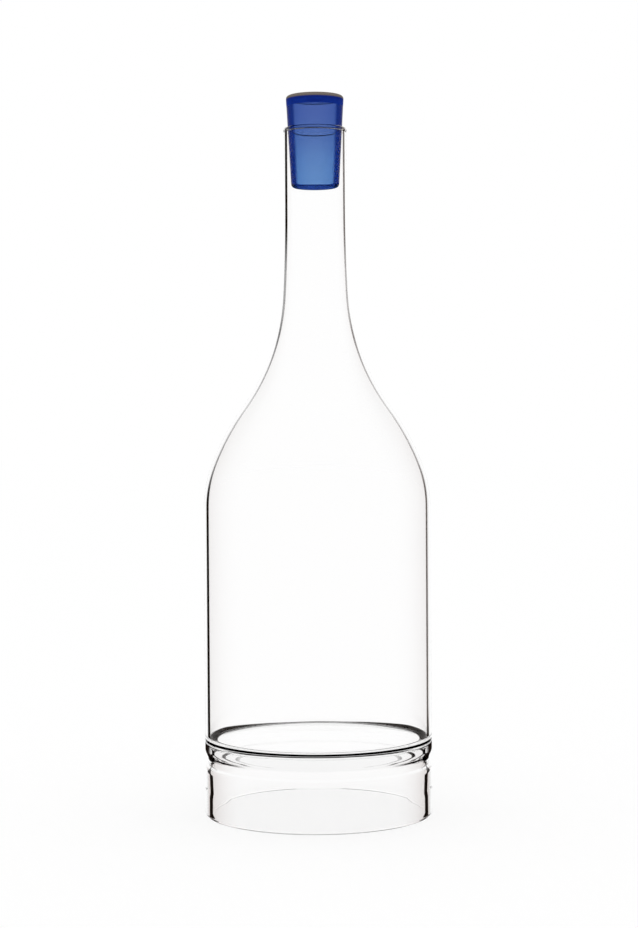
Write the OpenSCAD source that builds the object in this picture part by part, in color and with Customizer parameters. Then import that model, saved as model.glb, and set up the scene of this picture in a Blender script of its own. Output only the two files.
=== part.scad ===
// Stoppered glass bottle.
// A clear vessel with a long neck and a thin, raised floor stands on an open
// foot ring that is fused under its heel, and a hollow blue glass stopper sits
// in its mouth.
// The frame has its origin at the centre of the foot's lower rim, +Z up.

/* [Vessel] */
// Outer diameter of the straight body
body_d = 97.2; // [84:0.2:112]
// Wall of the body where the shoulder starts
body_wall = 1.6; // [1.2:0.1:2.6]
// Wall of the body just above the floor
heel_wall = 2; // [1.6:0.1:3]
// Height of the straight body, from the inside floor to the shoulder
body_h = 98.8; // [70:0.2:140]
// Thickness of the floor
floor_t = 1.4; // [1:0.1:2.4]
// Rounding inside, between the wall and the floor
heel_r = 2.2; // [1:0.1:3]
// How far the floor's underside is raised above the foot ring
floor_rise = 5.8; // [4:0.2:10]
// Wall of the heel below the floor, where vessel and foot ring are fused
joint_wall = 3.4; // [2.8:0.1:4.4]
// Radius of the fillet under the floor
floor_fillet = 2; // [1:0.1:3.5]

/* [Shoulder] */
// Radius of the tight bend at the top of the straight body
break_r = 51; // [40:1:60]
// Lean of the wall, in degrees, where the tight bend ends
break_angle = 21; // [16:0.5:26]
// Radius of the long convex curve that follows
shoulder_r = 103; // [80:1:115]
// Steepest lean of the shoulder, in degrees
shoulder_angle = 36; // [33:0.5:40]

/* [Neck] */
// Bore of the straight neck
neck_bore = 24.8; // [21:0.2:28]
// Wall of the neck
neck_wall = 1; // [0.8:0.1:1.8]
// Lean of the wall, in degrees, where the neck's slow taper starts
flare_angle = 3; // [2:0.5:5]
// Radius of the slow taper of the lower neck
flare_r = 720; // [400:10:800]
// Height of the straight neck below the lip
neck_h = 33; // [20:0.5:50]

/* [Lip] */
// Radius of the fire-polished bead that rims the mouth
bead_r = 0.95; // [0.7:0.05:1.3]
// How far the bead stands into the bore
bead_step = 0.7; // [0.4:0.05:0.9]

/* [Foot ring] */
// How far the foot ring stands out past the body's wall
foot_proud = 0.2; // [0:0.05:0.6]
// Wall of the foot ring
foot_wall = 2.9; // [2.2:0.1:4]
// Height of the foot ring, up to the joint
foot_h = 25.2; // [18:0.2:40]
// Rounding of both edges of the rim that it stands on
rim_r = 1.1; // [0.5:0.1:1.3]
// Depth of the groove round the fused joint
groove_depth = 1.3; // [0.6:0.1:1.4]
// Height of the groove's plain bottom
groove_h = 1.5; // [0.5:0.1:2.5]
// Height of the thick wall inside the ring, under the joint
thick_h = 2.7; // [1.5:0.1:3.5]
// Height over which that wall steps back to the ring's bore
step_h = 1.5; // [0.8:0.1:2.5]
// Rounding of both bends of the step
step_r = 0.8; // [0.3:0.1:1]
// How much thinner the ring's wall is just under the step
foot_thinning = 0.6; // [0.2:0.1:0.8]
// Height over which the thinned wall comes back to its full thickness
thinning_h = 8; // [4:0.5:10]

/* [Stopper] */
// Length of the stopper below the top of the lip
plug_depth = 25.6; // [15:0.2:35]
// Height of the stopper above the top of the lip
plug_rise = 13.9; // [8:0.2:22]
// Lean of the stopper's side, in degrees
plug_taper = 3.15; // [2:0.05:4.5]
// Wall of the hollow stopper
plug_wall = 2; // [1.4:0.1:3]
// Thickness of the stopper's closed top
crown_t = 1.8; // [1.2:0.1:3]
// Thickness of the stopper's closed lower end
tip_t = 1.5; // [1:0.1:2.5]
// Rounding of the top edge
crown_r = 1.4; // [0.6:0.1:2.2]
// Rounding of the lower edge
tip_r = 2.4; // [1:0.1:3]

/* [Fit] */
// Gap between the stopper and the bead where it seats
seat_gap = 0.05; // [0.02:0.01:0.1]

/* [Hidden] */
$fn = 120;
clear_glass = [0.86, 0.92, 0.93, 0.35];
blue_glass = [0.13, 0.24, 0.66, 0.8];

// Steps in each stretch of curve
bend_steps = 8;
long_steps = 14;
edge_steps = 6;

// Least rounding in the stopper's hollow
hollow_r = 0.4;

// Radii
body_r = body_d / 2;
neck_bore_r = neck_bore / 2;
shoulder_bore_r = body_r - body_wall;
heel_bore_r = body_r - heel_wall;
foot_r = body_r + foot_proud;
foot_bore_r = foot_r - foot_wall;
waist_r = body_r - groove_depth;
joint_bore_r = body_r - joint_wall;

// Heights, from the foot's rim upwards
underside_z = foot_h + floor_rise;
floor_z = underside_z + floor_t;
shoulder_z = floor_z + body_h;

// The concave curve between shoulder and neck has the one radius that brings
// the wall in to the neck's bore.
convex_reach = break_r * (1 - cos(break_angle))
    + shoulder_r * (cos(break_angle) - cos(shoulder_angle));
flare_reach = flare_r * (1 - cos(flare_angle));
sweep_r = (shoulder_bore_r - neck_bore_r - convex_reach - flare_reach)
    / (cos(flare_angle) - cos(shoulder_angle));

// Stations [r, z, lean] along an arc that starts at one station and ends at a
// new lean. A growing lean bends the wall inwards, a falling one straightens it.
function arc(from, radius, lean, steps) =
    let (turn = lean > from[2] ? radius : -radius)
    [for (i = [1:steps])
        let (t = from[2] + (lean - from[2]) * i / steps)
        [from[0] + turn * (cos(t) - cos(from[2])),
         from[1] + turn * (sin(t) - sin(from[2])),
         t]];
function last(list) = list[len(list) - 1];

// Stations of the inner wall, from the shoulder to the top of the neck
shoulder_start = [shoulder_bore_r, shoulder_z, 0];
break_arc = arc(shoulder_start, break_r, break_angle, bend_steps);
shoulder_arc = arc(last(break_arc), shoulder_r, shoulder_angle, bend_steps);
sweep_arc = arc(last(shoulder_arc), sweep_r, flare_angle, long_steps);
flare_arc = arc(last(sweep_arc), flare_r, 0, bend_steps);
neck_z = last(flare_arc)[1];
bead_z = neck_z + neck_h;
lip_z = bead_z + bead_r;
stations = concat(
    [shoulder_start], break_arc, shoulder_arc, sweep_arc, flare_arc,
    [[neck_bore_r, bead_z, 0]]);

// The wall thins evenly with height, from the shoulder to the neck.
function wall_at(z) =
    z > neck_z ? neck_wall
    : body_wall + (neck_wall - body_wall) * (z - shoulder_z) / (neck_z - shoulder_z);
function outside(s) =
    [s[0] + wall_at(s[1]) * cos(s[2]), s[1] + wall_at(s[1]) * sin(s[2])];

// Bead and stopper meet on one circle, a bead's radius in from its centre
// square to the stopper's leaning side.
bead_centre_r = neck_bore_r - bead_step + bead_r;
seat_r = bead_centre_r - bead_r * cos(plug_taper) - seat_gap;
seat_z = bead_z + bead_r * sin(plug_taper);
crown_z = lip_z + plug_rise;
tip_z = lip_z - plug_depth;
function plug_r_at(z) = seat_r + (z - seat_z) * tan(plug_taper);

// Points that round the corner b, on the way from a to c
function unit(v) = v / norm(v);
function turned(angle) = angle > 180 ? angle - 360 : angle < -180 ? angle + 360 : angle;
function rounded(a, b, c, radius, steps) =
    let (u = unit(a - b),
         v = unit(c - b),
         half = acos(u * v) / 2,
         centre = b + unit(u + v) * radius / sin(half),
         from = b + u * radius / tan(half) - centre,
         to = b + v * radius / tan(half) - centre,
         start = atan2(from[1], from[0]),
         turn = turned(atan2(to[1], to[0]) - start))
    [for (i = [0:steps])
        let (t = start + turn * i / steps)
        centre + radius * [cos(t), sin(t)]];

// Half of the vessel's section, without the bead
function vessel_section() =
    let (floor_edge = [heel_bore_r, floor_z],
         wall_top = [shoulder_bore_r, shoulder_z],
         heel_foot = [joint_bore_r, foot_h])
    concat(
        [[0, underside_z]],
        rounded([0, underside_z], [joint_bore_r, underside_z], heel_foot,
                floor_fillet, edge_steps),
        [heel_foot, [body_r, foot_h]],
        [for (s = stations) outside(s)],
        [for (i = [len(stations) - 1:-1:0]) [stations[i][0], stations[i][1]]],
        rounded(wall_top, floor_edge, [0, floor_z], heel_r, edge_steps),
        [[0, floor_z]]);

// Half of the foot ring's section: the rim, the outside with its groove, the
// joint and the bore, which steps back below the joint
function foot_section() =
    let (outer_foot = [foot_r, 0],
         inner_foot = [foot_bore_r, 0],
         groove_top = foot_h - groove_depth,
         groove_foot = groove_top - groove_h,
         groove_shoulder = groove_foot - groove_depth,
         joint_top = [joint_bore_r, foot_h],
         step_top = [joint_bore_r, foot_h - thick_h],
         step_foot = [foot_bore_r + foot_thinning, foot_h - thick_h - step_h],
         thinning_foot = [foot_bore_r, foot_h - thick_h - step_h - thinning_h])
    concat(
        rounded(thinning_foot, inner_foot, outer_foot, rim_r, edge_steps),
        rounded(inner_foot, outer_foot, [foot_r, foot_h], rim_r, edge_steps),
        rounded(outer_foot, [foot_r, groove_shoulder], [waist_r, groove_foot],
                groove_depth, edge_steps),
        [[waist_r, groove_foot], [waist_r, groove_top], [body_r, foot_h]],
        [joint_top],
        rounded(joint_top, step_top, step_foot, step_r, edge_steps),
        rounded(step_top, step_foot, thinning_foot, step_r, edge_steps),
        [thinning_foot]);

// Half of a tapered plug between two heights, inset from the stopper's side
function plug_section(low, high, inset, low_r, high_r) =
    let (lift = inset / cos(plug_taper),
         low_edge = [plug_r_at(low) - lift, low],
         high_edge = [plug_r_at(high) - lift, high])
    concat(
        [[0, low]],
        rounded([0, low], low_edge, high_edge, low_r, edge_steps),
        rounded(low_edge, high_edge, [0, high], high_r, edge_steps),
        [[0, high]]);

module vessel() {
    color(clear_glass)
    rotate_extrude()
    union() {
        polygon(vessel_section());
        translate([bead_centre_r, bead_z])
            circle(bead_r);
    }
}

module foot_ring() {
    color(clear_glass)
    rotate_extrude()
    polygon(foot_section());
}

module stopper() {
    hollow_tip_r = max(tip_r - plug_wall, hollow_r);
    hollow_crown_r = max(crown_r - plug_wall, hollow_r);
    color(blue_glass)
    rotate_extrude()
    difference() {
        polygon(plug_section(tip_z, crown_z, 0, tip_r, crown_r));
        polygon(plug_section(tip_z + tip_t, crown_z - crown_t, plug_wall,
                             hollow_tip_r, hollow_crown_r));
    }
}

vessel();
foot_ring();
stopper();
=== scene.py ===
# %% [markdown]
# # A stoppered glass bottle
#
# The object is a clear bottle worked in the flame from thin glass, with a
# hollow blue stopper in its mouth. It has no texture to paint: all that shows
# is how light bends in it. So this lesson is about giving glass its true
# inside and outside, about surroundings for it to bend into view, and about
# drawing the last dark lines where bending alone leaves them out.

# %% Load the fixed frame
import math
from functools import reduce
from types import SimpleNamespace

import bmesh
import bpy
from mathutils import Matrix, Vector


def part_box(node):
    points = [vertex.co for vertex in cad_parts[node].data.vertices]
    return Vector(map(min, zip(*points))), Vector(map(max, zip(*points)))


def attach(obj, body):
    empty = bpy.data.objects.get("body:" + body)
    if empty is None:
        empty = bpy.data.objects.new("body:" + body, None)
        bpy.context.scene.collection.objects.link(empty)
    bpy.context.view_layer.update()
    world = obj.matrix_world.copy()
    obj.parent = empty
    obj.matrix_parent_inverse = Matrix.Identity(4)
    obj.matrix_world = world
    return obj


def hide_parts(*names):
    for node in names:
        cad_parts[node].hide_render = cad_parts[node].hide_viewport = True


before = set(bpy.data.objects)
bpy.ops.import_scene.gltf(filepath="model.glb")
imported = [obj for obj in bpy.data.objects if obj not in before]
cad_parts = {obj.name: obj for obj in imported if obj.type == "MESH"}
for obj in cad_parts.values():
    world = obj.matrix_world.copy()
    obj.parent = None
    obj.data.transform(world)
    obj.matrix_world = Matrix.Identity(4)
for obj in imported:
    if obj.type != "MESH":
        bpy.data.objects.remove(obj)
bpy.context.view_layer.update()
scene = bpy.context.scene
MM = 0.001

vessel_low, vessel_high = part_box("vessel")
_, ring_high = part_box("foot_ring")
stopper_low, stopper_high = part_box("stopper")
print("body radius", round(vessel_high.x, 5), "lip height", round(vessel_high.z, 5))

# %% [markdown]
# ## The camera
#
# A tall bottle seen from close by shows the underside of its stopper and the
# upper side of its floor at once, because the eye is level with the middle.
# The camera therefore stays level and the picture is shifted instead of
# tilted, which keeps the sides of the bottle parallel. The camera is turned a
# third of a degree about its line of sight, as a hand-set tripod would be.

# %% Camera
EYE = Vector((0.001, -0.846, 0.1663))
FOCAL_LENGTH = 76.34
SENSOR_WIDTH = 36
PICTURE_DROP = -0.042
CAMERA_ROLL = math.radians(0.35)

lens = bpy.data.cameras.new("camera")
lens.lens = FOCAL_LENGTH
lens.sensor_width = SENSOR_WIDTH
lens.sensor_fit = "AUTO"
lens.shift_y = PICTURE_DROP
camera = bpy.data.objects.new("camera", lens)
camera.location = EYE
camera.rotation_euler = (math.radians(90), CAMERA_ROLL, 0)
scene.collection.objects.link(camera)
scene.camera = camera
print("camera", round(EYE.length, 3), "m from the bottle's foot")

# %% [markdown]
# ## Nodes without a mouse
#
# Materials and surroundings are both node trees. A few small helpers keep the
# code that builds them readable: they add a node and fill its sockets, do a
# sum, and turn a rising value into a soft step. Each finds the tree it works
# in from the sockets that it is given.


# %% Helpers for node trees
def connect(value, socket):
    """Links an output to an input socket, or sets the socket to a value."""
    if isinstance(value, bpy.types.NodeSocket):
        socket.id_data.links.new(value, socket)
    else:
        socket.default_value = value


def add(tree, kind, **sockets):
    """Adds a node and fills its input sockets by name."""
    node = tree.nodes.new(kind)
    for name, value in sockets.items():
        connect(value, node.inputs[name.replace("_", " ")])
    return node


def maths(operation, *values):
    """The output of a Math node for sockets and numbers."""
    tree = next(v.id_data for v in values if isinstance(v, bpy.types.NodeSocket))
    node = tree.nodes.new("ShaderNodeMath")
    node.operation = operation
    for value, socket in zip(values, node.inputs):
        connect(value, socket)
    return node.outputs[0]


def soft_step(value, start, end, low=0.0, high=1.0):
    """Goes smoothly from low to high while value goes from start to end."""
    node = add(
        value.id_data, "ShaderNodeMapRange", Value=value, From_Min=start,
        From_Max=end, To_Min=low, To_Max=high,
    )
    node.interpolation_type = "SMOOTHSTEP"
    return node.outputs["Result"]


print("helpers: connect, add, maths, soft_step")

# %% [markdown]
# ## Surroundings
#
# Clear glass has no look of its own. Where every direction is equally bright
# it vanishes, so a glass photographer gives it something dark to find: here
# the studio is a bright wall all round, with a dark ceiling above it. Thick
# and rounded edges bend the ceiling into view and draw themselves as dark
# lines, from whichever side the bottle is seen. The camera itself sees a
# plain white wall, and matt things are lit evenly from everywhere.

# %% World
WALL_TOP = math.radians(20)
CEILING_START = math.radians(32)
CEILING_LEVEL = 0.02

world = bpy.data.worlds.new("studio")
scene.world = world
world.use_nodes = True
studio = world.node_tree
studio.nodes.clear()
direction = add(studio, "ShaderNodeTexCoord").outputs["Generated"]
rise = add(studio, "ShaderNodeSeparateXYZ", Vector=direction).outputs["Z"]
wall_level = soft_step(
    rise, math.sin(WALL_TOP), math.sin(CEILING_START), 1.0, CEILING_LEVEL
)
seen_by = add(studio, "ShaderNodeLightPath").outputs
plain = maths("MAXIMUM", seen_by["Is Camera Ray"], seen_by["Diffuse Depth"])
level = maths("MINIMUM", 1.0, maths("MAXIMUM", wall_level, plain))
sky = add(studio, "ShaderNodeBackground", Color=(1, 1, 1, 1), Strength=level)
add(studio, "ShaderNodeOutputWorld", Surface=sky.outputs[0])
print("world: bright to", round(math.degrees(WALL_TOP)), "degrees above level")

# %% [markdown]
# ## The floor
#
# The bottle stands on a white table that is part of the white background.
# Most of the table's light is its own glow and the rest is what it receives,
# so it looks white and still holds a soft shadow under the foot.


# %% Floor
FLOOR_REACH = 8.0
TABLE_GLOW = 0.75


def empty_material(name):
    """A new material, and its node tree with nothing in it yet."""
    material = bpy.data.materials.new(name)
    material.use_nodes = True
    material.node_tree.nodes.clear()
    return material, material.node_tree


table = bmesh.new()
bmesh.ops.create_grid(table, x_segments=2, y_segments=2, size=FLOOR_REACH)
table_mesh = bpy.data.meshes.new("table")
table.to_mesh(table_mesh)
table.free()
floor = bpy.data.objects.new("table", table_mesh)
scene.collection.objects.link(floor)

table_white, table_tree = empty_material("table_white")
matt = add(table_tree, "ShaderNodeBsdfDiffuse", Color=(1 - TABLE_GLOW,) * 3 + (1,))
glow = add(table_tree, "ShaderNodeEmission", Strength=TABLE_GLOW)
matt_and_glow = table_tree.nodes.new("ShaderNodeAddShader")
connect(matt.outputs[0], matt_and_glow.inputs[0])
connect(glow.outputs[0], matt_and_glow.inputs[1])
add(table_tree, "ShaderNodeOutputMaterial", Surface=matt_and_glow.outputs[0])
table_mesh.materials.append(table_white)
print("table: glows at", TABLE_GLOW)

# %% [markdown]
# ## Clear glass, and marks drawn on it
#
# At each of its surfaces glass does two things at once: it bends most of the
# light and mirrors the rest. That much is two shaders and a Fresnel node. But
# the fine dark lines that edge a glass tube come from dark things far to the
# side, and a studio that has them on every side would darken the whole bottle.
# So the lines are drawn where they belong by masks: numbers between 0 and 1
# that say how dark the glass is at a point.
#
# A mask is a product of soft steps. It reads where the point lies, how its
# surface leans, from which side of the glass it is met and how squarely
# (Layer Weight). That is a painter's way and not a physicist's, and some of
# the marks suit an eye at about the bottle's own height best. The next cells
# build the marks of the clear glass one by one in one node tree, with heights
# in millimetres above the table.


# %% Helpers for masks
def product(*shares):
    """The product of several shares."""
    return reduce(lambda first, second: maths("MULTIPLY", first, second), shares)


def largest(*shares):
    """The largest of several shares."""
    return reduce(lambda first, second: maths("MAXIMUM", first, second), shares)


def inverse(share):
    """What a share leaves of 1."""
    return maths("SUBTRACT", 1.0, share)


def falls(value, start, end):
    """Goes smoothly from 1 to 0 while value goes from start to end."""
    return soft_step(value, start, end, 1.0, 0.0)


def between(value, start, end, fade):
    """1 while value is between start and end, with a fade at each end."""
    rise = soft_step(value, start - fade, start + fade)
    return product(rise, falls(value, end - fade, end + fade))


print("helpers: product, largest, inverse, falls, between")


# %% Read the surface
def read_surface(tree, slack=0.0):
    """The facts about a point of the glass that its masks are made from. A
    slack above 0 counts flat ends as turned away from the axis."""
    geometry = add(tree, "ShaderNodeNewGeometry").outputs
    normal = add(tree, "ShaderNodeSeparateXYZ", Vector=geometry["Normal"]).outputs
    place = add(tree, "ShaderNodeTexCoord").outputs["Object"]
    place = add(tree, "ShaderNodeSeparateXYZ", Vector=place).outputs
    outwards = maths(
        "ADD", product(normal["X"], place["X"]), product(normal["Y"], place["Y"])
    )
    away = maths("GREATER_THAN", outwards, -slack)
    within = geometry["Backfacing"]
    entering = inverse(within)
    return SimpleNamespace(
        facing=add(tree, "ShaderNodeLayerWeight", Blend=0.5).outputs["Facing"],
        height=maths("DIVIDE", place["Z"], MM),
        place=place,
        normal=normal,
        whole_normal=geometry["Normal"],
        tilt=maths("ABSOLUTE", normal["Z"]),
        within=within,
        entering=entering,
        outer=product(entering, away),
        inner=product(entering, inverse(away)),
        bore=product(within, away),
        outside_from_within=product(within, inverse(away)),
    )


clear_glass, clear_tree = empty_material("clear_glass")
at = read_surface(clear_tree)
JOINT = vessel_low.z / MM
LIP = vessel_high.z / MM
print("joint at", round(JOINT, 2), "mm, lip at", round(LIP, 2), "mm")

# %% [markdown]
# ## The line in the wall
#
# Look at the edge of a glass tube: a dark line runs inside it, where the bore ends. A ray that
# leaves the wall into the bore at that place was bent twice, and Snell's law tells how far
# from the axis it came in: its slant times the glass's index times the radius. The line is
# painted dark as shade where that distance is near the bore's own radius, so its width comes
# out in millimetres on every part of the bottle. It is painted thinner and paler where the
# wall leans, between 205 and 240 mm above the table, and on the bottle's right, as if a
# brighter light stood there.

# %% How far a ray passes from the bore
CLEAR_IOR = 1.47

squares = [product(at.place[axis], at.place[axis]) for axis in "XY"]
from_axis = maths("DIVIDE", maths("SQRT", maths("ADD", *squares)), MM)
squarely = inverse(at.facing)
slant = maths("SQRT", inverse(product(squarely, squarely)))
beside_bore = product(maths("SUBTRACT", maths("MULTIPLY", slant, CLEAR_IOR), 1.0), from_axis)
critical = math.degrees(math.asin(1 / CLEAR_IOR))
print("a ray that leaves the wall at", round(critical, 1), "degrees just grazes the bore")

# %% Lean and light
UPRIGHT = (0.35, 0.85)
LEANS = (0.05, 0.45)
LIT_SIDE = (-0.2, 0.4)
LIT_ABOVE = (JOINT + 4.8, JOINT + 24.8)
LIT_LEANS = (0.05, 0.3)

upright = falls(at.tilt, *UPRIGHT)
leaning = soft_step(at.tilt, *LEANS)
lit = soft_step(at.normal["X"], *LIT_SIDE)
lit_wall = product(lit, soft_step(at.height, *LIT_ABOVE))
lit_line = product(lit_wall, falls(at.tilt, *LIT_LEANS))
print("the lit side begins", LIT_ABOVE[0], "mm above the table")

# %% Wall line
LINE_IN, LINE_OUT, LINE_SOFT = -0.42, 0.55, 0.07
LEAN_THINS, LEAN_PALES = 0.45, 0.42
LIT_THINS, LIT_PALES = 0.25, 0.08
PALER_BAND, PALER_BAND_FADE, PALER_BAND_PALES = (205, 240), 12, 0.4
FOOT_TOP, FOOT_WIDENS = (JOINT - 5.2, JOINT - 3.2), 0.35
RIM_TAPER = (0.8, 3.0)

rim_taper = falls(at.height, *RIM_TAPER)
in_foot = soft_step(at.height, *FOOT_TOP, FOOT_WIDENS, 0.0)
inner_edge = maths("ADD", beside_bore, rim_taper)
outer_edge = maths("SUBTRACT", beside_bore, in_foot)
outer_edge = maths("ADD", outer_edge, product(leaning, LEAN_THINS))
outer_edge = maths("ADD", outer_edge, product(lit_line, LIT_THINS))
wall_line = product(
    soft_step(inner_edge, LINE_IN - LINE_SOFT, LINE_IN + LINE_SOFT),
    falls(outer_edge, LINE_OUT - LINE_SOFT, LINE_OUT + LINE_SOFT),
    at.bore,
    upright,
)
# Painted shade: the wall line is made paler between 205 and 240 mm above the table.
paler_band = product(between(at.height, *PALER_BAND, PALER_BAND_FADE), PALER_BAND_PALES)
paler = largest(product(leaning, LEAN_PALES), paler_band)
wall_line = product(wall_line, inverse(paler), inverse(product(lit_line, LIT_PALES)))
print("a wall line is", round(LINE_OUT - LINE_IN, 2), "mm wide")

# %% [markdown]
# ## The bead of the mouth
#
# The lip was melted round in the flame. Such a bead is a lens: it gathers a
# dark arc above and below, and a dark spot at each end, a little inside its
# edge.

# %% Bead
BEAD_FOOT, BEAD_FADE = LIP - 2.16, 0.3
BEAD_SIDE = (0.55, 0.8)
BEAD_END, BEAD_END_FADE, BEAD_END_DARK = (0.53, 0.70), 0.05, 0.95
TURNED_DOWN, UNDER_DARK = (-0.25, -0.05), 0.38
TURNED_UP, TURNED_FADE, OVER_DARK = (0.35, 0.90), 0.08, 0.45

on_bead = product(soft_step(at.height, BEAD_FOOT, BEAD_FOOT + BEAD_FADE), at.outer)
bead_end = between(at.facing, *BEAD_END, BEAD_END_FADE)
bead = largest(
    product(on_bead, falls(at.tilt, *BEAD_SIDE), bead_end, BEAD_END_DARK),
    product(on_bead, falls(at.normal["Z"], *TURNED_DOWN), UNDER_DARK),
    product(on_bead, between(at.normal["Z"], *TURNED_UP, TURNED_FADE), OVER_DARK),
)
print("the bead's marks start", round(LIP - BEAD_FOOT, 2), "mm below the lip")

# %% [markdown]
# ## The heel and the joint under it
#
# The thick heel is where a blown bottle shows most. Its marks are painted shade, from the top
# down: the floor's edge at the rear, thin in the middle and thick at the ends, where the wall
# is seen from its side; light that is guided along inside the floor and never comes back, and
# a ring at the floor's edge that shows from low down; the dark ends of the heel; a slight band
# of shade all along it; and a dark line over the slope at the joint, darker where the glass is
# met at a slant.

# %% Edge of the floor
LEVEL_EYE_SLOPE = 0.148
EDGE_TILT, EDGE_TILT_FADE = (0.05, 0.992), 0.005
EDGE_ZONE, EDGE_FADE = (JOINT + 6.75, JOINT + 8.3), 0.15
EDGE_CLIMB, EDGE_TOP, EDGE_DARK = 3.3, (JOINT + 10.09, JOINT + 10.31), 0.98
LEFT_THINS = 0.2

# How squarely the wall faces a nearly level eye, with its own lean taken out.
flat_share = maths("SQRT", inverse(product(at.tilt, at.tilt)))
across = maths("SUBTRACT", squarely, product(at.tilt, LEVEL_EYE_SLOPE))
across = maths("DIVIDE", across, flat_share)
# Inner faces look across the bottle, so "lit" is on its left here.
climb = maths("ADD", at.height, product(across, EDGE_CLIMB))
climb = maths("ADD", climb, product(lit, LEFT_THINS))
floor_edge = product(
    between(at.tilt, *EDGE_TILT, EDGE_TILT_FADE),
    at.inner,
    between(at.height, *EDGE_ZONE, EDGE_FADE),
    soft_step(climb, *EDGE_TOP, EDGE_DARK, 0.0),
)
print("the floor's edge is drawn up to", round(EDGE_ZONE[1], 1), "mm")

# %% In the floor
GUIDE_TILT, GUIDE_FACING = (0.8, 0.9), (0.6, 0.75)
RING_TILT, RING_RADIUS = (0.984, 0.990), (43.1, 43.6)
RING_HEIGHT = (JOINT + 6.6, JOINT + 6.8)
RING_FACING, RING_FADE, RING_DARK = (0.81, 0.87), 0.01, 0.97

guided = product(
    soft_step(at.tilt, *GUIDE_TILT), soft_step(at.facing, *GUIDE_FACING), at.within
)
floor_ring = product(
    at.entering,
    soft_step(at.tilt, *RING_TILT),
    soft_step(from_axis, *RING_RADIUS),
    soft_step(at.height, *RING_HEIGHT),
    between(at.facing, *RING_FACING, RING_FADE),
    RING_DARK,
)
print("the floor's ring starts at radius", RING_RADIUS[0], "mm")

# %% Heel and joint
END_ZONE, END_FADE, END_FACING = (JOINT - 1.2, JOINT + 6.0), 0.3, (0.66, 0.78)
BAND_ZONE, BAND_FADE, BAND_DARK = (JOINT + 0.3, JOINT + 6.0), 0.5, 0.06
JOINT_SHADE_ZONE, JOINT_SHADE_FADE, JOINT_SHADE_FACING = (JOINT, JOINT + 0.9), 0.2, (0.36, 0.56)
JOINT_SHADE_TILT, JOINT_SHADE_TILT_FADE = (0.2, 0.97), 0.05

heel_end = product(
    between(at.height, *END_ZONE, END_FADE), soft_step(at.facing, *END_FACING), at.outer
)
heel_band = product(between(at.height, *BAND_ZONE, BAND_FADE), at.outer, BAND_DARK)
# A painted dark line of shade over the slope at the joint, darker where the glass is met at a
# slant.
joint_shade = product(
    between(at.height, *JOINT_SHADE_ZONE, JOINT_SHADE_FADE),
    between(at.tilt, *JOINT_SHADE_TILT, JOINT_SHADE_TILT_FADE),
    soft_step(at.facing, *JOINT_SHADE_FACING),
    at.outer,
)
print("clear glass so far:", len(clear_tree.nodes), "nodes")

# %% [markdown]
# ## Strokes in the ends of the heel
#
# Towards its ends the heel is a thick lens, and it shows the same dark edge
# several times, as strokes nested in each other and bent round the middle of
# its height. A cosine of how squarely the glass is met gives the repeats, and
# the square of the height above the middle bends them.

# %% Strokes
STROKE_MIDDLE, STROKE_HALF = JOINT + 3.4, 2.4
STROKE_BEND = 0.10
STROKE_AT, STROKE_APART = 0.56, 0.12
STROKE_EDGE = (0.35, 0.85)
STROKE_FACING, STROKE_DARK = (0.20, 0.42), 0.97
STROKE_ZONE, STROKE_FADE = (JOINT + 1.2, JOINT + 5.5), 0.5
UNLIT_STROKE = 0.85

from_middle = maths("SUBTRACT", at.height, STROKE_MIDDLE)
from_middle = maths("DIVIDE", from_middle, STROKE_HALF)
bent = product(from_middle, from_middle, STROKE_BEND)
reach = maths("SQRT", maths("ADD", at.facing, bent))
turns = maths("SUBTRACT", reach, STROKE_AT)
wave = maths("COSINE", maths("MULTIPLY", turns, math.tau / STROKE_APART))
strokes = product(
    soft_step(wave, *STROKE_EDGE),
    soft_step(at.facing, *STROKE_FACING, 0.0, STROKE_DARK),
    at.outer,
    between(at.height, *STROKE_ZONE, STROKE_FADE),
    soft_step(lit, 0.0, 1.0, UNLIT_STROKE, 1.0),
)
print("strokes repeat every", STROKE_APART, "of the way from square to edge-on")

# %% [markdown]
# ## Painted grey shade and colour
#
# Beside each dark line the glass gets a painted warm grey shade, where real glass looks warm
# and grey because the light goes a long way through it. That painted shade fades towards the
# very edge of the tube. Then the marks become two colours: one for the light that is bent and
# one for the light that is mirrored. The outside mirrors only in its last millimetre towards
# the edge, so that nothing bright lies over the lines.


# %% Painted grey shade
MIX_SOCKETS = {"RGBA": (0, 6, 7, 2), "VECTOR": (0, 4, 5, 1)}
GREY_SHADE_FACING, GREY_SHADE_LEAST = (0.25, 0.85), 0.06
GREY_SHADE_PALES, GREY_SHADE_ABOVE_FOOT = (JOINT - 5.2, JOINT + 6.8), 0.38
GREY_SHADE_DEPTH = (0.9, 1.7)


def blend(share, first, second, kind="RGBA"):
    """A colour, or a direction, between two."""
    share_in, first_in, second_in, out = MIX_SOCKETS[kind]
    node = share.id_data.nodes.new("ShaderNodeMix")
    node.data_type = kind
    connect(share, node.inputs[share_in])
    connect(first, node.inputs[first_in])
    connect(second, node.inputs[second_in])
    return node.outputs[out]


from_edge = product(from_axis, inverse(slant))
# The warm grey beside the lines is painted shade, set by how squarely the glass is met.
grey_shade = product(
    soft_step(at.facing, *GREY_SHADE_FACING, GREY_SHADE_LEAST, 1.0),
    soft_step(at.height, *GREY_SHADE_PALES, 1.0, GREY_SHADE_ABOVE_FOOT),
    at.outer,
    upright,
    soft_step(from_edge, *GREY_SHADE_DEPTH),
)
print("the haze begins", GREY_SHADE_DEPTH[0], "mm inside the edge")

# %% Colours of the clear glass
WHITE, BLACK = (1, 1, 1, 1), (0, 0, 0, 1)
EDGE_GREY_SHADE = (0.72, 0.67, 0.655, 1)
LINE_BROWN = (0.012, 0.008, 0.006, 1)
LIT_BROWN = (0.12, 0.095, 0.085, 1)
SHINE_DEPTH = (0.5, 1.0)

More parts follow.
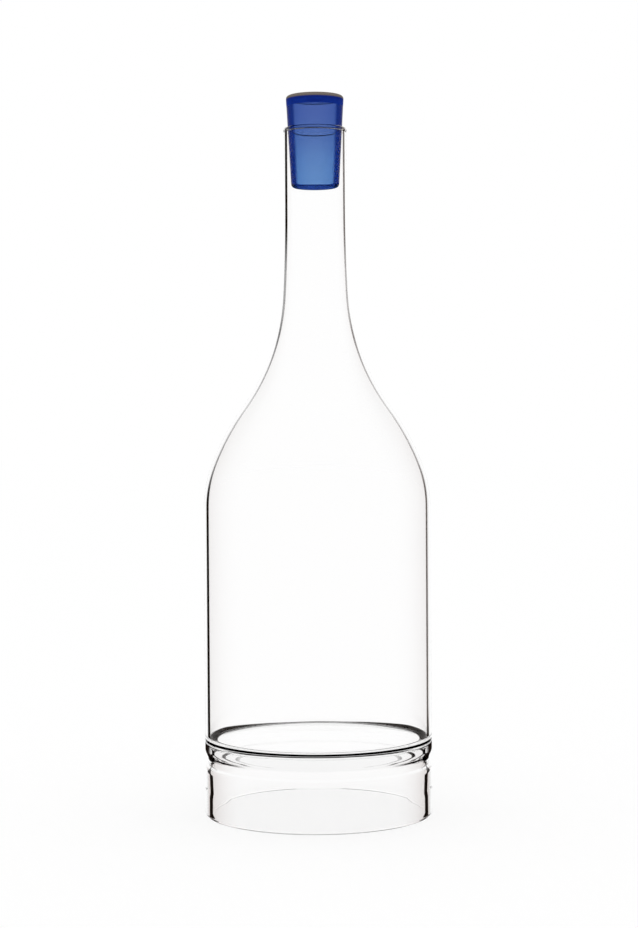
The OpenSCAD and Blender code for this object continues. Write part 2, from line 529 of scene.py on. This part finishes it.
dark = largest(
    wall_line, guided, bead, joint_shade, heel_end, floor_edge, heel_band, floor_ring, strokes
)
line_brown = blend(lit_wall, LINE_BROWN, LIT_BROWN)
bent_colour = blend(dark, blend(grey_shade, WHITE, EDGE_GREY_SHADE), line_brown)
no_shine = product(soft_step(from_edge, *SHINE_DEPTH), at.outer, upright)
mirror_colour = blend(no_shine, bent_colour, BLACK)
print("nine marks and a haze in", len(clear_tree.nodes), "nodes")

# %% [markdown]
# ## Eased surfaces
#
# The groove outside and the step inside the foot are short slopes. Seen face
# on they would bend the view up and down and draw a second line, where the
# real joint is melted so softly that it shows none. Making them softer in
# shape would lose them at the edge of the bottle. So the shape stays, and the
# direction that the shader takes for the surface is eased towards a plain
# tube where the wall is seen face on.

# %% Eased normals
GROOVE_ABOVE, ABOVE_FACING = (JOINT - 1.4, JOINT + 2.6), (0.52, 0.60)
GROOVE_BELOW, BELOW_FACING = (JOINT - 6.0, JOINT - 1.2), (0.60, 0.85)
STEP_INSIDE, STEP_FACING = (JOINT - 6.6, JOINT - 1.7), (0.235, 0.262)
EASE_FADE = 0.2

outwards_only = add(
    clear_tree, "ShaderNodeCombineXYZ", X=at.place["X"], Y=at.place["Y"]
).outputs[0]
plain_tube = add(clear_tree, "ShaderNodeVectorMath", Vector=outwards_only)
plain_tube.operation = "NORMALIZE"
eased_outside = product(
    largest(
        product(between(at.height, *GROOVE_ABOVE, EASE_FADE), falls(at.facing, *ABOVE_FACING)),
        product(between(at.height, *GROOVE_BELOW, EASE_FADE), falls(at.facing, *BELOW_FACING)),
    ),
    at.outer,
)
eased_inside = product(
    between(at.height, *STEP_INSIDE, EASE_FADE), at.bore, falls(at.facing, *STEP_FACING)
)
easing = largest(eased_outside, eased_inside)
eased_normal = blend(easing, at.whole_normal, plain_tube.outputs[0], "VECTOR")
print("the groove is eased over", round(GROOVE_ABOVE[1] - GROOVE_BELOW[0], 1), "mm")

# %% [markdown]
# ## Putting the clear glass together
#
# The bent and the mirrored light are mixed by Fresnel. Light that would run
# round and round inside the foot's wall is let straight out, and where only
# a shadow is asked for the glass is a plain tinted pane, so that the lamps
# shine through it without noise.


# %% Helpers for glass
MIRROR_FALL = 2.0


def mixed(share, first, second):
    """The output of a Mix Shader node for two shaders."""
    node = first.id_data.nodes.new("ShaderNodeMixShader")
    for value, socket in zip((share, first, second), node.inputs):
        connect(value, socket)
    return node.outputs[0]


def bends_and_mirrors(tree, ior, bent_colour, mirror_colour, **lie):
    """Glass as a mix of bent and mirrored light. The mirror's share is
    Fresnel's, with its weak part weakened further."""
    fresnel = add(tree, "ShaderNodeFresnel", IOR=ior, **lie).outputs[0]
    share = maths("POWER", fresnel, MIRROR_FALL)
    bent = add(
        tree, "ShaderNodeBsdfRefraction", Color=bent_colour, Roughness=0.0, IOR=ior, **lie
    )
    glossy = add(
        tree, "ShaderNodeBsdfAnisotropic", Color=mirror_colour, Roughness=0.0, **lie
    )
    return mixed(share, bent.outputs[0], glossy.outputs[0])


def lets_lamps_through(shader, tint):
    """Swaps glass for a tinted pane where only a shadow is asked for."""
    tree = shader.id_data
    shadow = add(tree, "ShaderNodeLightPath").outputs["Is Shadow Ray"]
    pane = add(tree, "ShaderNodeBsdfTransparent", Color=tint)
    return mixed(shadow, shader, pane.outputs[0])


print("the mirror's share is Fresnel's to the power of", MIRROR_FALL)

# %% Clear glass
TRAPPED_FACING = (0.27, 0.29)
TRAPPED_ZONE, TRAPPED_FADE = (4.5, JOINT - 3.7), 0.2
CLEAR_SHADOW = (0.93, 0.93, 0.92, 1)

shader = bends_and_mirrors(
    clear_tree, CLEAR_IOR, bent_colour, mirror_colour, Normal=eased_normal
)
trapped = product(
    at.outside_from_within,
    soft_step(at.facing, *TRAPPED_FACING),
    between(at.height, *TRAPPED_ZONE, TRAPPED_FADE),
)
straight_out = add(clear_tree, "ShaderNodeBsdfTransparent")
shader = mixed(trapped, shader, straight_out.outputs[0])
shader = lets_lamps_through(shader, CLEAR_SHADOW)
add(clear_tree, "ShaderNodeOutputMaterial", Surface=shader)
print("clear glass:", len(clear_tree.nodes), "nodes")

# %% [markdown]
# ## Blue glass
#
# The stopper is the same glass with cobalt in it. The colour lies in the
# glass and not on it: the further light travels inside, the deeper the blue.
# That is Volume Absorption, which needs the true wall thickness to look
# right. The solid top and the sides, where light would go much further than
# it is followed here, get a colour on their surface as well.
#
# A share of matt Diffuse covers the rounded upper edge, in warm grey at the very top. A thin
# line of dark matt navy is painted in each side as shade, where the hollow begins, by how
# squarely the glass is met.

# %% Blue glass
BLUE_IOR = 1.5
COBALT = (0.234, 0.504, 0.779, 1)
COBALT_DENSITY = 700.0
TOP_BLUE, TOP_ZONE = (0.60, 0.50, 0.72, 1), (270, 300)
SIDE_BLUE, SIDE_FACING = (0.065, 0.13, 0.40, 1), (0.27, 0.42)
EDGE_BLUE, EDGE_FACING = (0.025, 0.05, 0.30, 1), (0.45, 0.85)
CROWN_BLUE, CROWN_ZONE = (0.05, 0.14, 0.42, 1), (302.8, 303.4)
TIP_BLUE, TIP_ZONE = (0.05, 0.14, 0.45, 1), (268.6, 269.2)
NAVY = (0.006, 0.023, 0.219, 1)
UPPER_EDGE_GREY = (0.17, 0.145, 0.13, 1)
UPPER_EDGE_ZONE, UPPER_EDGE_TILT, UPPER_EDGE_FADE = (306.0, 306.6), (0.12, 0.96), 0.04
UPPER_EDGE_TONE_ZONE, FLAT_TOP = (305.9, 306.4), (0.96, 0.995)
HOLLOW_SHADE_FACING, HOLLOW_SHADE_FADE, HOLLOW_SHADE_SHARE = (0.585, 0.63), 0.012, 0.3
CROWN_SHARE, FLAT_TOP_SHARE = 0.75, 0.3
BLUE_SHADOW = (0.55, 0.62, 0.86, 1)
FLAT_SLACK = 0.00001

blue_glass, blue_tree = empty_material("blue_glass")
on = read_surface(blue_tree, FLAT_SLACK)
crown = soft_step(on.height, *CROWN_ZONE)
blue = blend(soft_step(on.height, *TOP_ZONE), WHITE, TOP_BLUE)
blue = blend(soft_step(on.facing, *SIDE_FACING), blue, SIDE_BLUE)
blue = blend(soft_step(on.facing, *EDGE_FACING), blue, EDGE_BLUE)
blue = blend(crown, blue, CROWN_BLUE)
blue = blend(on.outer, WHITE, blue)
shine = blend(falls(on.height, *TIP_ZONE), WHITE, TIP_BLUE)
shader = bends_and_mirrors(blue_tree, BLUE_IOR, blue, shine)
print("blue glass passes", COBALT[:3], "at density", COBALT_DENSITY)

# %% Matt upper edge and painted shade on the stopper
# The rounded upper edge gets a share of matt Diffuse, warm grey at the very top.
matt_upper_edge = product(
    soft_step(on.height, *UPPER_EDGE_ZONE), between(on.normal["Z"], *UPPER_EDGE_TILT, UPPER_EDGE_FADE)
)
# The line in each side is painted shade: a band of how squarely the glass is met, in dark matt
# navy.
hollow_edge_shade = product(between(on.facing, *HOLLOW_SHADE_FACING, HOLLOW_SHADE_FADE), HOLLOW_SHADE_SHARE)
deep = product(
    crown, on.outer, CROWN_SHARE,
    soft_step(on.normal["Z"], *FLAT_TOP, 1.0, FLAT_TOP_SHARE),
)
matt_share = largest(product(largest(matt_upper_edge, hollow_edge_shade), on.outer), deep)
pale = product(soft_step(on.height, *UPPER_EDGE_TONE_ZONE), falls(on.normal["Z"], *FLAT_TOP))
matt_edge_and_shade = add(blue_tree, "ShaderNodeBsdfDiffuse", Color=blend(pale, NAVY, UPPER_EDGE_GREY))
shader = mixed(matt_share, shader, matt_edge_and_shade.outputs[0])
shader = lets_lamps_through(shader, BLUE_SHADOW)
depth = add(blue_tree, "ShaderNodeVolumeAbsorption", Color=COBALT, Density=COBALT_DENSITY)
add(blue_tree, "ShaderNodeOutputMaterial", Surface=shader, Volume=depth.outputs[0])
print("blue glass:", len(blue_tree.nodes), "nodes")

# %% [markdown]
# ## Drawing a section
#
# Everything here is round, so each piece is half a section spun about the
# axis. The section is drawn as with a pencil: a point is extruded into a
# line, a point spun about a centre leaves an arc, and a corner is rounded by
# a bevel of its point. Those are Blender's own operators on a few vertices,
# so no list of points has to be worked out.

# %% Drawing tools
TURN_STEPS = 256
CORNER_STEPS = 6
WELD = 0.002 * MM


def pencil(r, z):
    """Starts a drawing at one point of the section."""
    drawing = bmesh.new()
    return drawing, drawing.verts.new((r, 0, z))


def line_to(drawing, point, r, z):
    """Draws a straight line from a point and returns its new end."""
    made = bmesh.ops.extrude_vert_indiv(drawing, verts=[point])
    end = made["verts"][0]
    end.co = (r, 0, z)
    return end


def arc_about(drawing, point, r, z, sweep, steps):
    """Draws an arc from a point about a centre. A positive sweep rises first
    on the outer side of the centre."""
    made = bmesh.ops.spin(
        drawing, geom=[point], cent=(r, 0, z), axis=(0, -1, 0), dvec=(0, 0, 0),
        angle=sweep, steps=steps, use_merge=False, use_normal_flip=False,
        use_duplicate=False,
    )
    return next(v for v in made["geom_last"] if isinstance(v, bmesh.types.BMVert))


def round_corner(drawing, point, radius):
    """Rounds the corner at a point to a radius."""
    ways = [(e.other_vert(point).co - point.co).normalized() for e in point.link_edges]
    half = ways[0].angle(ways[1]) / 2
    bmesh.ops.bevel(
        drawing, geom=[point], offset=radius / math.tan(half), offset_type="OFFSET",
        segments=CORNER_STEPS, profile=0.5, affect="VERTICES", material=-1,
        clamp_overlap=True,
    )


def spun(drawing):
    """Spins the whole drawing once round the axis and closes its poles."""
    bmesh.ops.spin(
        drawing, geom=drawing.verts[:] + drawing.edges[:], cent=(0, 0, 0),
        axis=(0, 0, 1), dvec=(0, 0, 0), angle=math.tau, steps=TURN_STEPS,
        use_merge=True, use_normal_flip=False, use_duplicate=False,
    )
    bmesh.ops.remove_doubles(drawing, verts=drawing.verts, dist=WELD)
    bmesh.ops.recalc_face_normals(drawing, faces=drawing.faces)


def piece_from(drawing, name, material, body, replaced):
    """Makes a finished drawing into a smooth piece that rides on a body."""
    for face in drawing.faces:
        face.smooth = True
    mesh = bpy.data.meshes.new(name)
    drawing.to_mesh(mesh)
    drawing.free()
    mesh.materials.append(material)
    piece = bpy.data.objects.new(name, mesh)
    scene.collection.objects.link(piece)
    flats_lead = piece.modifiers.new("flats_lead", "WEIGHTED_NORMAL")
    flats_lead.mode = "FACE_AREA"
    flats_lead.keep_sharp = False
    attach(piece, body)
    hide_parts(*replaced)
    print(name, len(mesh.vertices), "points,", len(mesh.polygons), "faces")
    return piece


# %% [markdown]
# ## The bottle's section
#
# The flame-worker starts from a straight tube and stretches its shoulder and
# neck, so the wall gets thinner as it gets narrower. The inside is drawn
# first, from the middle of the floor to the lip: a straight side, a tight
# bend, a long convex curve, the hollow curve that sweeps into the neck, and a
# slow taper. Each arc starts where the last one ends, with the same lean.

# %% Sizes of the bottle
BODY_R = vessel_high.x
LIP_Z = vessel_high.z
JOINT_Z = vessel_low.z
FOOT_R = ring_high.x
HEEL_WALL = 1.7 * MM
BODY_WALL = 1.6 * MM
NECK_WALL = 1.0 * MM
NECK_BORE_R = 12.4 * MM
FLOOR_T = 0.8 * MM
FLOOR_RISE = 6.15 * MM
SHOULDER_Z = 131.2 * MM
BREAK_R, BREAK_LEAN = 51 * MM, math.radians(21)
SHOULDER_R, SHOULDER_LEAN = 103 * MM, math.radians(36)
FLARE_R, FLARE_LEAN = 720 * MM, math.radians(3)
BREAK_STEPS, SHOULDER_STEPS, SWEEP_STEPS, FLARE_STEPS, BEAD_STEPS = 14, 14, 26, 10, 24
BEAD_R = 0.95 * MM
BEAD_STEP = 0.7 * MM

UNDERSIDE_Z = JOINT_Z + FLOOR_RISE
FLOOR_Z = UNDERSIDE_Z + FLOOR_T
BEAD_Z = LIP_Z - BEAD_R
BEAD_CENTRE_R = NECK_BORE_R - BEAD_STEP + BEAD_R
bend = BREAK_R * (1 - math.cos(BREAK_LEAN))
bend += SHOULDER_R * (math.cos(BREAK_LEAN) - math.cos(SHOULDER_LEAN))
flare = FLARE_R * (1 - math.cos(FLARE_LEAN))
SWEEP_R = (BODY_R - BODY_WALL - NECK_BORE_R - bend - flare) / (
    math.cos(FLARE_LEAN) - math.cos(SHOULDER_LEAN)
)
print("the hollow curve of the shoulder has a radius of", round(SWEEP_R / MM, 1), "mm")


# %% Inside of the bottle
def lean_on(drawing, point, lean, radius, new_lean, steps):
    """Draws the wall on from a point, on an arc that ends at a new lean. A
    growing lean bends the wall inwards."""
    side = 1 if new_lean > lean else -1
    centre_r = point.co.x - side * radius * math.cos(lean)
    centre_z = point.co.z - side * radius * math.sin(lean)
    return arc_about(drawing, point, centre_r, centre_z, new_lean - lean, steps)


outline, floor_centre = pencil(0, FLOOR_Z)
heel = line_to(outline, floor_centre, BODY_R - HEEL_WALL, FLOOR_Z)
shoulder = line_to(outline, heel, BODY_R - BODY_WALL, SHOULDER_Z)
point = lean_on(outline, shoulder, 0, BREAK_R, BREAK_LEAN, BREAK_STEPS)
point = lean_on(outline, point, BREAK_LEAN, SHOULDER_R, SHOULDER_LEAN, SHOULDER_STEPS)
point = lean_on(outline, point, SHOULDER_LEAN, SWEEP_R, FLARE_LEAN, SWEEP_STEPS)
neck = lean_on(outline, point, FLARE_LEAN, FLARE_R, 0, FLARE_STEPS)
BEAD_REACH = math.acos((BEAD_CENTRE_R - NECK_BORE_R) / BEAD_R)
mouth = line_to(outline, neck, NECK_BORE_R, BEAD_Z - BEAD_R * math.sin(BEAD_REACH))
print("straight neck from", round(neck.co.z / MM, 1), "to", round(mouth.co.z / MM, 1), "mm")

# %% [markdown]
# ## The bottle's outside
#
# The outside follows the inside at the distance of the wall. So it is a copy
# of the inside line, from the shoulder up, and each of its points is pushed
# out square to the wall by the wall's thickness at that height.


# %% Outside of the bottle
def wall_at(z):
    """The wall's thickness at a height above the shoulder."""
    share = (z - SHOULDER_Z) / (neck.co.z - SHOULDER_Z)
    return BODY_WALL + (NECK_WALL - BODY_WALL) * min(1, share)


def outward(point):
    """The direction square to the wall at a point of the inside line."""
    above = max((e.other_vert(point) for e in point.link_edges), key=lambda v: v.co.z)
    below = min((e.other_vert(point) for e in point.link_edges), key=lambda v: v.co.z)
    if point is mouth:
        above = point
    along = (above.co - below.co).normalized()
    return Vector((along.z, 0, -along.x))


HAIR = 0.01 * MM
wall_points = [v for v in outline.verts if v.co.z >= SHOULDER_Z - HAIR]
wall_edges = [e for e in outline.edges if all(v in wall_points for v in e.verts)]
push = {v: outward(v) * wall_at(v.co.z) for v in wall_points}
copies = bmesh.ops.duplicate(outline, geom=wall_points + wall_edges)["vert_map"]
for point in wall_points:
    copies[point].co += push[point]
outer_shoulder, outer_mouth = copies[shoulder], copies[mouth]
outer_shoulder.co = (BODY_R, 0, SHOULDER_Z)
BEAD_GRIP = math.acos((outer_mouth.co.x - BEAD_CENTRE_R) / BEAD_R)
over_the_top = math.pi + BEAD_REACH + BEAD_GRIP
bead_close = arc_about(outline, mouth, BEAD_CENTRE_R, BEAD_Z, -over_the_top, BEAD_STEPS)
bmesh.ops.contextual_create(outline, geom=[bead_close, outer_mouth])
print("wall at the lip", round((outer_mouth.co.x - NECK_BORE_R) / MM, 2), "mm")

# %% [markdown]
# ## Heel and foot ring
#
# Below the floor the wall is thick, and an open foot ring is fused under it.
# Outside, the joint shows as a shallow groove under a long soft slope, and
# inside as a step, with a wall that thins below it. The real joint is one
# piece of glass, so vessel and ring are drawn as one outline: a seam between
# two closed shells would catch the light as a false mirror.

# %% Foot
GROOVE_DEPTH = 1.3 * MM
GROOVE_H = 1.5 * MM
FOOT_WALL = 2.9 * MM
FOOT_THINNING = 0.35 * MM
JOINT_WALL = 3.4 * MM
THICK_H = 2.7 * MM
STEP_H = 2.2 * MM
THINNING_H = 10 * MM
RIM_R = 1.1 * MM
HEEL_R = 2.2 * MM
UNDER_FLOOR_R = 2 * MM
SLOPE_H, SLOPE_DROP = 2.3 * MM, 0.6 * MM
SLOPE_TOP_R, SLOPE_FOOT_R = 3 * MM, 2.5 * MM
GROOVE_R = 1.2 * MM
STEP_R = 6 * MM
EASE_R = 60 * MM

waist_r = BODY_R - GROOVE_DEPTH
groove_top = JOINT_Z - GROOVE_DEPTH
groove_foot = groove_top - GROOVE_H
foot_bore_r = FOOT_R - FOOT_WALL
joint_bore_r = BODY_R - JOINT_WALL
step_top = JOINT_Z - THICK_H
step_foot = step_top - STEP_H

corners = []
for r, z, radius in (
    (BODY_R, JOINT_Z + SLOPE_H, SLOPE_TOP_R),
    (waist_r, JOINT_Z - SLOPE_DROP, SLOPE_FOOT_R),
    (waist_r, groove_foot, GROOVE_R),
    (FOOT_R, groove_foot - GROOVE_DEPTH, GROOVE_DEPTH),
    (FOOT_R, 0, RIM_R),
    (foot_bore_r, 0, RIM_R),
    (foot_bore_r, step_foot - THINNING_H, EASE_R),
    (foot_bore_r + FOOT_THINNING, step_foot, STEP_R),
    (joint_bore_r, step_top, STEP_R),
    (joint_bore_r, UNDERSIDE_Z, UNDER_FLOOR_R),
):
    last = corners[-1][0] if corners else outer_shoulder
    corners.append((line_to(outline, last, r, z), radius))
line_to(outline, corners[-1][0], 0, UNDERSIDE_Z)
for corner, radius in corners + [(heel, HEEL_R)]:
    round_corner(outline, corner, radius)
print("the outline has", len(outline.verts), "points")

# %% Spin the bottle
spun(outline)
bottle = piece_from(
    outline, "clear_bottle", clear_glass, "bottle", ("vessel", "foot_ring")
)

# %% [markdown]
# ## The stopper
#
# The stopper is blown, so it is hollow and closed at both ends. It takes two
# shells: the outside, and the inside of its hollow with the faces turned
# round, because on glass a face always points out of the glass. Its side
# leans a little, and it rests on the bead of the mouth where the two circles
# touch.

# %% Stopper
PLUG_TAPER = math.radians(3.15)
PLUG_WALL = 2.0 * MM
CROWN_T = 1.8 * MM
TIP_T = 0.8 * MM
CROWN_R = 1.4 * MM
TIP_R = 1.6 * MM
HOLLOW_R = 0.8 * MM
SEAT_GAP = 0.05 * MM
TIP_Z = stopper_low.z
CROWN_Z = stopper_high.z
seat_r = BEAD_CENTRE_R - BEAD_R * math.cos(PLUG_TAPER) - SEAT_GAP
seat_z = BEAD_Z + BEAD_R * math.sin(PLUG_TAPER)


def plug(low, high, inset, low_r, high_r):
    """One closed shell of the stopper, at an inset from its side."""
    drawing, middle = pencil(0, low)
    lift = inset / math.cos(PLUG_TAPER)
    low_edge = line_to(
        drawing, middle, seat_r + (low - seat_z) * math.tan(PLUG_TAPER) - lift, low
    )
    high_edge = line_to(
        drawing, low_edge, seat_r + (high - seat_z) * math.tan(PLUG_TAPER) - lift, high
    )
    line_to(drawing, high_edge, 0, high)
    round_corner(drawing, low_edge, low_r)
    round_corner(drawing, high_edge, high_r)
    spun(drawing)
    return drawing


hollow = plug(TIP_Z + TIP_T, CROWN_Z - CROWN_T, PLUG_WALL, HOLLOW_R, HOLLOW_R)
bmesh.ops.reverse_faces(hollow, faces=hollow.faces)
hollow_mesh = bpy.data.meshes.new("hollow")
hollow.to_mesh(hollow_mesh)
hollow.free()
shell = plug(TIP_Z, CROWN_Z, 0, TIP_R, CROWN_R)
shell.from_mesh(hollow_mesh)
stopper = piece_from(
    shell, "blue_stopper", blue_glass, "stopper", ("stopper",)
)

# %% [markdown]
# ## How the light is followed
#
# A ray through two bottle walls and a hollow stopper meets eight surfaces and
# may mirror to and fro between them, so rays get many turns before they stop.

# %% Ray depths
MOST_TURNS = 40
MOST_MIRRORINGS = 24

scene.cycles.max_bounces = MOST_TURNS
scene.cycles.transmission_bounces = MOST_TURNS
scene.cycles.glossy_bounces = MOST_MIRRORINGS
scene.cycles.transparent_max_bounces = MOST_TURNS
scene.view_settings.view_transform = "Standard"
print("rays turn up to", scene.cycles.max_bounces, "times")
